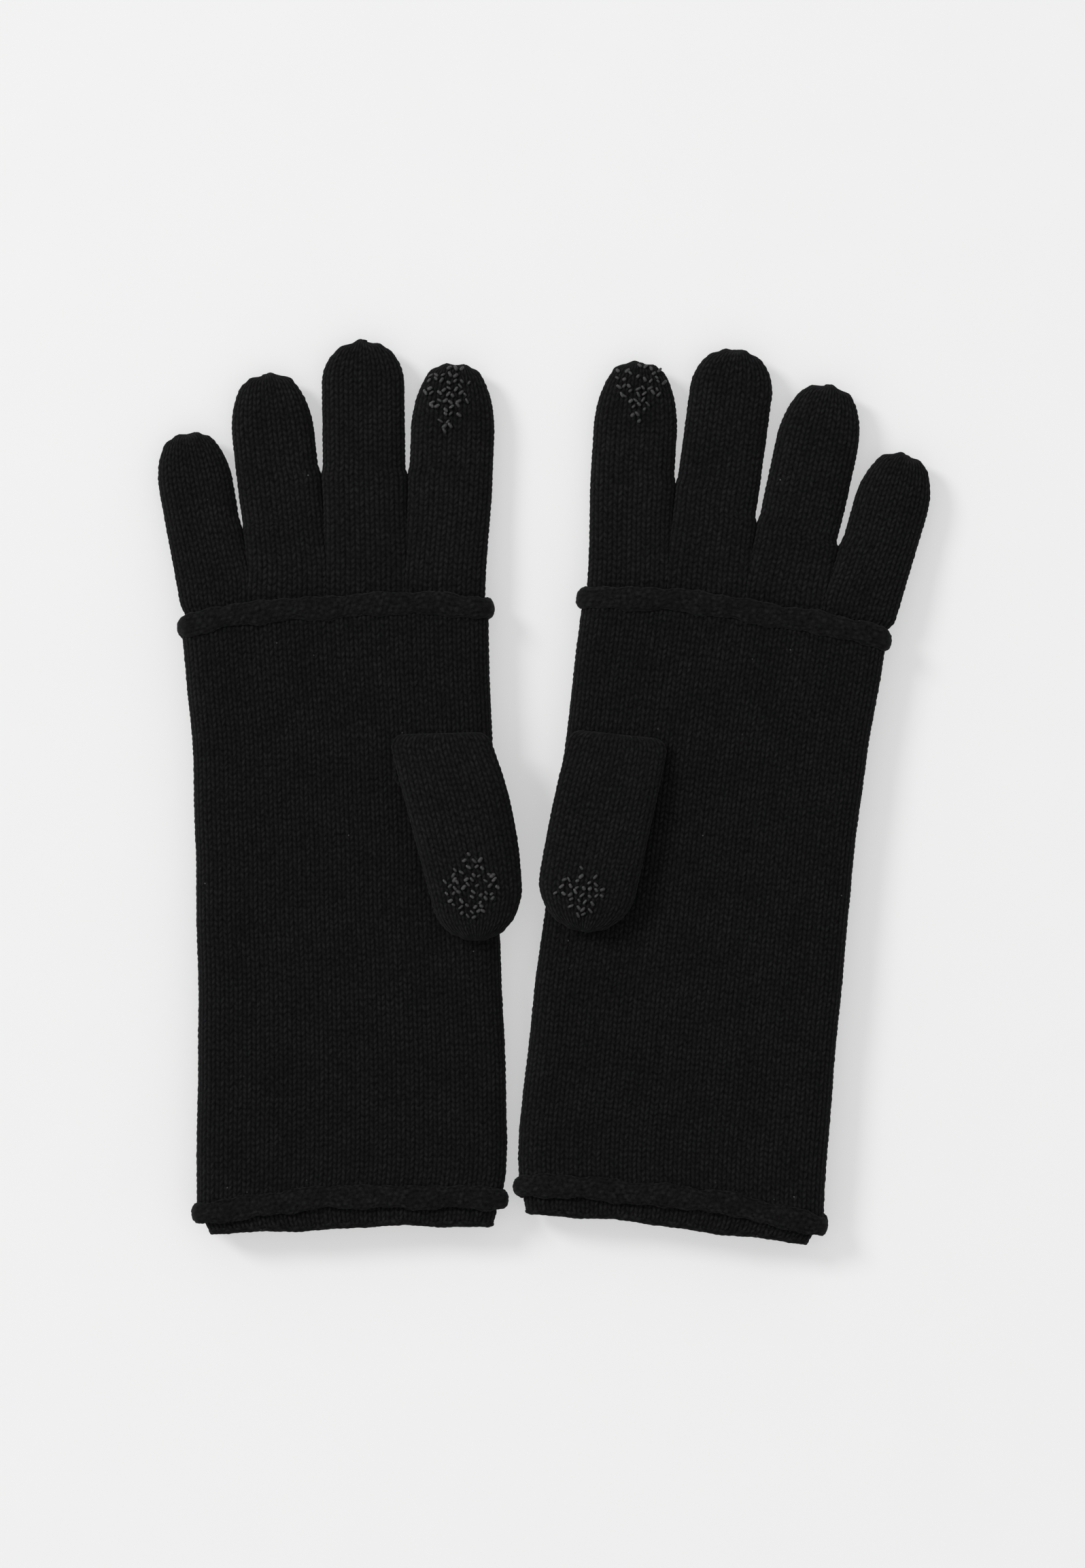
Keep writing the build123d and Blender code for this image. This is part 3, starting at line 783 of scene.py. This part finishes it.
def make_finger(glove, name):
    """A finger with its strip of the palm, and its gathered tip. Returns its plain surface."""
    side, number = glove.side, FINGER_ORDER.index(name)
    length = glove.layout["lengths"][number]
    v, t = tip_steps(STRIP_START, length)

    def crotch_beside(sign):
        """How far up the finger touches its neighbour, or None on the hand's own side."""
        neighbour = number + sign
        if not 0 <= neighbour < len(FINGER_ORDER):
            return None
        return glove.layout["touching"][min(number, neighbour)]

    def settled(sign):
        """The finger's edge: the hand's strip, then against its neighbour, then free."""
        own = finger_edge(glove, name, sign, t)
        crotch = crotch_beside(sign)
        if crotch is None:
            free = smooth(t, -14.0, -4.0)[:, None]
        else:
            neighbour = number + sign
            gap_at = np.minimum(t, glove.layout["lengths"][neighbour] - 16)
            other = finger_edge(glove, FINGER_ORDER[neighbour], -sign, gap_at)
            meeting = (own + other) / 2
            hold = (1 - smooth(t, crotch - 0.8, crotch + 3.6))[:, None]
            own = own + (meeting - own) * hold
            own[:, :1] += sign * 0.24 * hold  # a small lap, so that no light comes through
            free = smooth(t, -7.0, 7.0)[:, None]
        strip = plan(np.full(len(t), STRIP_EDGES[number + (sign > 0)]), FINGER_BASE + t)
        return strip * (1 - free) + own * free

    def held(sign):
        """Share of its height that an edge keeps: whole in the palm, none past the crotch."""
        crotch = crotch_beside(sign)
        return 0.0 if crotch is None else 1 - 0.97 * smooth(t, -4.0, 0.8 * crotch + 3)

    left, right = settled(-1), settled(1)
    fall = smooth(t, -2, 26)
    growing = 5.0 + (ROUNDING - 5.0) * smooth(t, -4, 16)
    round_left = ROUNDING if crotch_beside(-1) is None else growing
    round_right = ROUNDING if crotch_beside(1) is None else growing
    close = shoulder(length - t, 11.0)
    cols = columns(FINGER_WALES)
    uv_u = wale_line(cols)
    middle = MIDDLE - 1.95 * fall
    base = flat_rows(left, right, (HAND_HALF + 0.75 * fall) * close, (HAND_HALF + 1.05 * fall) * close,
                     middle, round_left, round_right, cols, held(-1), held(1))
    width = np.linalg.norm(right - left, axis=1)
    centre, half = (left + right) / 2, width / 2
    direction = (right - left) / np.maximum(width, 1e-6)[:, None]
    across = np.einsum("ijk,ik->ij", base[..., :2] - centre[:, None], direction)
    soft = shoulder(half[:, None] - np.abs(across), 8.0)
    phase = glove.layout["seed"] + 2.1 * number
    sag = np.where(base[..., 2] > middle[:, None], 0.3 * sway(base[..., 0], base[..., 1], phase), 0)
    base[..., 2] += sag * (soft * close[:, None]) ** 2
    n = normals_of(base, slice(20, 40))
    worked = pucker(base, n, t, length, across, phase)
    height = stitch(uv_u[None, :-1], v[:, None], phase)
    fade = 1 - 0.6 * smooth(t, length - 4, length)[:, None]
    worked = worked + n * (RELIEF * fade * (height - STITCH_MEAN))[..., None]
    origin, pointing = glove.finger(name)
    tip_nod = (0.36 * np.cos(across * 2 * math.pi / 7.4 + phase) * np.exp(-(across / 4.8) ** 2)
               * smooth(t, length - 3.5, length - 0.3)[:, None])
    worked[..., :2] += tip_nod[..., None] * pointing
    worked[..., 2] = np.maximum(worked[..., 2], TABLE)
    pole = worked[-1].mean(axis=0)
    finger = grid_piece(glove, f"{side}_{name}_finger_knit", worked, uv_u + 40 * number, v, height, pole=pole)
    start = np.append(origin - 3.0 * pointing, HAND_HALF + MIDDLE)
    end = np.append(origin + 8.0 * pointing, HAND_HALF + MIDDLE)
    finish_piece(finger, "hand_knit", f"{side}_hand", f"{side}_{name}_finger",
                 over=(f"{side}_{name}", glove.row(start), glove.row(end)))
    gather(glove, name, np.append(pole[:2], middle[-1]), pointing, phase)
    return base, n


def gather(glove, name, tip, pointing, phase):
    """Drawn-up yarn that closes a tip: a low puckered knot."""
    rings, around = 14, 48
    share = np.linspace(0, 1, rings)
    angle = np.linspace(0, 2 * math.pi, around, endpoint=False)
    petals = np.abs(np.cos(angle * 2.5 + phase))
    reach = 1.5 * np.sin(share * math.pi / 2)[::-1][:, None] * (0.82 + 0.25 * petals[None])
    out = 0.6 * (1 - (share[::-1][:, None]) ** 2.2) * (0.8 + 0.3 * petals[None]) - 0.62
    side = np.array([pointing[1], -pointing[0], 0.0])
    ahead = np.array([*pointing, 0.0])
    up = np.array([0, 0, 1.0])
    points = (tip[None, None] + ahead * out[..., None]
              + side * (reach * np.cos(angle)[None])[..., None]
              + up * (0.62 * reach * np.sin(angle)[None])[..., None])
    u = np.arange(around + 1) / 4.0
    piece = grid_piece(glove, f"{glove.side}_{name}_tip_closure", points[:-1], u, share[:-1] * 2,
                       np.broadcast_to(petals[None], (rings - 1, around)).copy(),
                       pole=points[-1].mean(axis=0))
    finish_piece(piece, "gathered_yarn", f"{glove.side}_{name}", f"{glove.side}_{name}_tip_gather")


def make_thumb(glove):
    """The folded thumb and its gathered tip. Returns its plain surface."""
    side = glove.side
    radius, length, shift = glove.layout["thumb"]
    _, t = tip_steps(0.0, length)
    t = np.concatenate([[0.0, 0.05, 0.15, 0.3], t[t > 0.31]])
    v = t / COURSE

    def edge(sign):
        x = digit_edge(t, sign * THUMB_HALF, THUMB_CORNER, shift, length - radius, radius, sign)
        rounded = THUMB_HALF - THUMB_CORNER + np.sqrt(
            np.clip(THUMB_CORNER ** 2 - (THUMB_CORNER - t) ** 2, 0, None))
        x = np.where(t < THUMB_CORNER, sign * rounded, x)
        if sign > 0:
            x = x + glove.layout["thumb_bow"] * np.sin(math.pi * np.clip(t / 52, 0, 1)) ** 0.9
        return plan(THUMB_X + x, glove.layout["thumb_fold"] - t)

    left, right = edge(-1), edge(1)
    cols = columns(THUMB_WALES)
    uv_u = wale_line(cols)
    fold = np.sqrt(np.clip(1 - np.clip((1.6 - t) / 1.6, 0, 1) ** 2, 0, 1))
    close = shoulder(length - t, 11.0) * fold
    rise = 0.24 + 0.76 * smooth(t, -5, 19)
    middle = THUMB_MIDDLE - HAND_HALF * (1 - rise)
    base = flat_rows(left, right, (HAND_HALF + 0.1) * close * rise, HAND_HALF * close * rise, middle,
                     ROUNDING, ROUNDING, cols)
    half = np.maximum((right - left)[:, 0] / 2, 1e-3)[:, None]
    across = base[..., 0] - ((left + right) / 2)[:, None, 0]
    share = np.clip(across / half, -1, 1)
    phase = glove.layout["seed"] * 1.3
    # its courses curve, its palm side is uneven and its outer side droops
    base[..., 1] -= 1.3 * (1 - share ** 2) * np.sin(math.pi * np.clip(t / length, 0, 1))[:, None]
    sag = np.where(base[..., 2] > middle[:, None], 0.28 * sway(base[..., 0], base[..., 1], phase), 0)
    base[..., 2] += sag * (shoulder(half - np.abs(across), 8.0) * close[:, None]) ** 2
    base[..., 2] -= 0.017 * np.clip(base[..., 0] - 42, 0, None) ** 2 * smooth(t, 18, 40)[:, None]
    n = normals_of(base, slice(24, 48))
    worked = pucker(base, n, t, length, across, phase)
    height = stitch(uv_u[None, :-1], v[:, None], phase)
    fade = smooth(t, 0.5, 3)[:, None] * (1 - 0.6 * smooth(t, length - 4, length)[:, None])
    worked = worked + n * (RELIEF * fade * (height - STITCH_MEAN))[..., None]
    pole = worked[-1].mean(axis=0)
    thumb = grid_piece(glove, f"{side}_thumb_knit", worked, uv_u + 200, v, height, pole=pole)
    start, end = (glove.row((THUMB_X, y, THUMB_TOP)) for y in THUMB_BEND)
    finish_piece(thumb, "hand_knit", f"{side}_hand", f"{side}_thumb", over=(f"{side}_thumb", start, end))
    gather(glove, "thumb", pole, np.array([0.0, -1.0]), phase)
    return base, n


def make_throat(glove):
    """The part of the thumb's root that comes up through the slit."""
    angle = np.linspace(0, 2 * math.pi, 96, endpoint=False)
    z = np.linspace(*THROAT_Z, 12)
    rib = np.abs(np.sin(angle * 12))
    size = (1 + 0.05 * rib)[None] * (1 + 0.05 * (z - THROAT_Z[0]) / 4.0)[:, None]
    points = np.stack([THROAT_X + THROAT_HALF[0] * squared(np.cos(angle), 0.62)[None] * size,
                       THROAT_Y + THROAT_HALF[1] * squared(np.sin(angle), 0.8)[None] * size,
                       np.broadcast_to(z[:, None], (12, 96))], axis=-1)
    root = grid_piece(glove, f"{glove.side}_thumb_root_knit", points, np.arange(97) / 8.0,
                      (z - THROAT_Z[0]) / COURSE, rib[None].repeat(12, 0))
    finish_piece(root, "hand_knit", f"{glove.side}_hand", f"{glove.side}_thumb_gusset")


# --------------------------------------------------------------- touch pads

def grain(glove, name, points, normals, radius, tone):
    """One raised stitch of yarn: a short bead along its points, thinner at its ends."""
    count = len(points)
    ahead = np.gradient(points, axis=0)
    ahead /= np.linalg.norm(ahead, axis=1, keepdims=True)
    side = np.cross(ahead, normals)
    side /= np.linalg.norm(side, axis=1, keepdims=True)
    over = np.cross(side, ahead)
    share = np.linspace(0, 1, count)
    size = radius * np.sqrt(np.clip(1 - (2 * share - 1) ** 4, 0.02, 1))
    angle = np.linspace(0, 2 * math.pi, 10, endpoint=False)
    grid = points[:, None] + size[:, None, None] * (
        np.cos(angle)[None, :, None] * side[:, None] * 1.15 + np.sin(angle)[None, :, None] * over[:, None])
    ply = 0.5 + 0.5 * np.sin(angle[None] * 2 + share[:, None] * 14)
    grid = grid + (0.06 * (ply - 0.5) * radius)[..., None] * over[:, None]
    return grid_piece(glove, name, grid[:-1], np.arange(11) / 3.0, share[:-1] * 2,
                      tone * ply[:-1] + 0.3 * tone, pole=grid[-1].mean(axis=0))


def make_pad(glove, digit, surface, centre, along, outline):
    """Touch pad: separate slanting stitches of conductive yarn, in rows as wide as the outline says.

    surface is the digit's points and normals, and along its direction in plan.
    """
    _, _, full_width, full_length = glove.layout[f"{digit}_pad"]
    rng = np.random.default_rng(glove.layout["seed"] + PAD_SEEDS[digit])
    beside = np.array([along[1], -along[0]])
    points, normals = surface
    palm = normals[..., 2] > 0.4
    points, normals = points[palm], normals[palm]
    steps = np.arange(9)
    rows = int(full_length / PAD_ROW) + 1
    made = []
    for i in range(rows):
        share = i / (rows - 1)
        count = max(1, int(round(full_width * np.interp(share, *outline) / PAD_STITCH)))
        inner = 1 - abs(2 * share - 0.9) ** 1.5
        for k in range(count):
            offset = k - (count - 1) / 2 + (0.25 if i % 2 else -0.25)
            x = offset * PAD_STITCH + 0.3 * rng.normal()
            y = (share - 0.5) * full_length + 0.4 * rng.normal()
            slant = (1 if (k + i) % 2 else -1) * math.radians(rng.uniform(28, 62))
            long = rng.uniform(1.2, 2.1)
            thick = rng.uniform(0.3, 0.5)
            tone = rng.uniform(0.1, 1.0) * (0.55 + 0.45 * inner)
            if rng.random() < 0.10:
                continue  # a missed stitch
            middle = centre + x * beside + y * along
            direction = math.cos(slant) * along + math.sin(slant) * beside
            spots = middle + np.linspace(-0.5, 0.5, 9)[:, None] * long * direction
            near = [int(np.argmin(((points[:, :2] - spot) ** 2).sum(axis=1))) for spot in spots]
            facing = normals[near].mean(axis=0)
            aside = np.linalg.norm(points[near][:, :2] - spots, axis=1).max()
            if facing[2] < 0.62 or aside > 0.8:
                continue  # over the edge
            z = np.polyval(np.polyfit(steps, points[near][:, 2], 2), steps)
            arch = 0.34 * (1 - np.linspace(-1, 1, 9) ** 2) + 0.02
            line = np.column_stack([spots, z + arch])
            made.append(grain(glove, f"grain_{i}_{k}", line, np.tile(facing, (9, 1)), thick, tone))
    pad = merge(made, f"{glove.side}_{digit}_touch_stitches")
    finish_piece(pad, "conductive_yarn", f"{glove.side}_{digit}", f"{glove.side}_{digit}_touch_pad")


def make_glove(side):
    """All the pieces of one glove."""
    glove = Glove(side)
    make_sleeve(glove)
    make_hems(glove)
    make_slit_edge(glove)
    make_hand(glove)
    for name in FINGER_ORDER:
        surface = make_finger(glove, name)
    # the index finger comes last
    origin, pointing = glove.finger("index")
    pad_x, from_tip = glove.layout["index_pad"][:2]
    aside = np.array([pointing[1], -pointing[0]])
    centre = origin + (glove.layout["lengths"][-1] - from_tip) * pointing + pad_x * aside
    make_pad(glove, "index", surface, centre, pointing, INDEX_PAD)

    surface = make_thumb(glove)
    make_throat(glove)
    _, length, shift = glove.layout["thumb"]
    pad_x, from_tip = glove.layout["thumb_pad"][:2]
    centre = np.array([THUMB_X + shift + pad_x, glove.layout["thumb_fold"] - length + from_tip])
    make_pad(glove, "thumb", surface, centre, np.array([0.0, 1.0]), THUMB_PAD)


make_glove("right")
make_glove("left")


# ------------------------------------------------- floor, lights and camera

def make_floor():
    """A pale floor with a little glow of its own, so that narrow gaps stay pale."""
    mesh = bpy.data.meshes.new("floor")
    reach = 2.5
    corners = [(-reach, -reach, 0), (reach, -reach, 0), (reach, reach, 0), (-reach, reach, 0)]
    mesh.from_pydata(corners, [], [(0, 1, 2, 3)])
    floor = bpy.data.objects.new("floor", mesh)
    floor.location.z = -0.0002
    bpy.context.scene.collection.objects.link(floor)
    material = bpy.data.materials.new("pale_floor")
    material.use_nodes = True
    tree = material.node_tree
    shader = tree.nodes["Principled BSDF"]
    shader.inputs["Roughness"].default_value = 0.9
    shader.inputs["Specular IOR Level"].default_value = 0.1
    speckle = node(tree, "ShaderNodeTexNoise", Scale=180.0, Detail=2.0)
    mix = node(tree, "ShaderNodeMix", data_type="RGBA")
    mix.inputs[6].default_value = (0.38, 0.38, 0.38, 1)
    mix.inputs[7].default_value = (0.39, 0.39, 0.39, 1)
    tree.links.new(speckle.outputs["Fac"], mix.inputs[0])
    tree.links.new(mix.outputs[2], shader.inputs["Base Color"])
    shader.inputs["Emission Color"].default_value = (1, 1, 1, 1)
    shader.inputs["Emission Strength"].default_value = 0.45
    mesh.materials.append(material)


def make_lights():
    """An even pale sky, and one large lamp from the upper left."""
    world = bpy.data.worlds.new("studio")
    bpy.context.scene.world = world
    world.use_nodes = True
    background = world.node_tree.nodes["Background"]
    background.inputs["Color"].default_value = (1, 1, 1, 1)
    background.inputs["Strength"].default_value = 0.74
    light = bpy.data.lights.new("key", "AREA")
    light.shape = "DISK"
    light.size = 1.5
    light.energy = 150.0
    lamp = bpy.data.objects.new("key", light)
    lamp.location = (-3.4, 2.2, 2.8)
    lamp.rotation_euler = (-Vector((-3.4, 2.2, 2.8))).to_track_quat("-Z", "Y").to_euler()
    bpy.context.scene.collection.objects.link(lamp)


make_floor()
make_lights()

# The camera looks straight down, and its long side covers VIEW_HEIGHT metres at the gloves
VIEW_HEIGHT = 0.472
LENS = 120.0
SENSOR = 36.0
camera_data = bpy.data.cameras.new("camera")
camera_data.lens = LENS
camera_data.sensor_width = SENSOR
camera = bpy.data.objects.new("camera", camera_data)
camera.location = (0.0002, 0.0025, VIEW_HEIGHT * LENS / SENSOR + SLEEVE_TOP * 0.0007)
bpy.context.scene.collection.objects.link(camera)
bpy.context.scene.camera = camera
bpy.context.scene.view_settings.view_transform = "Standard"
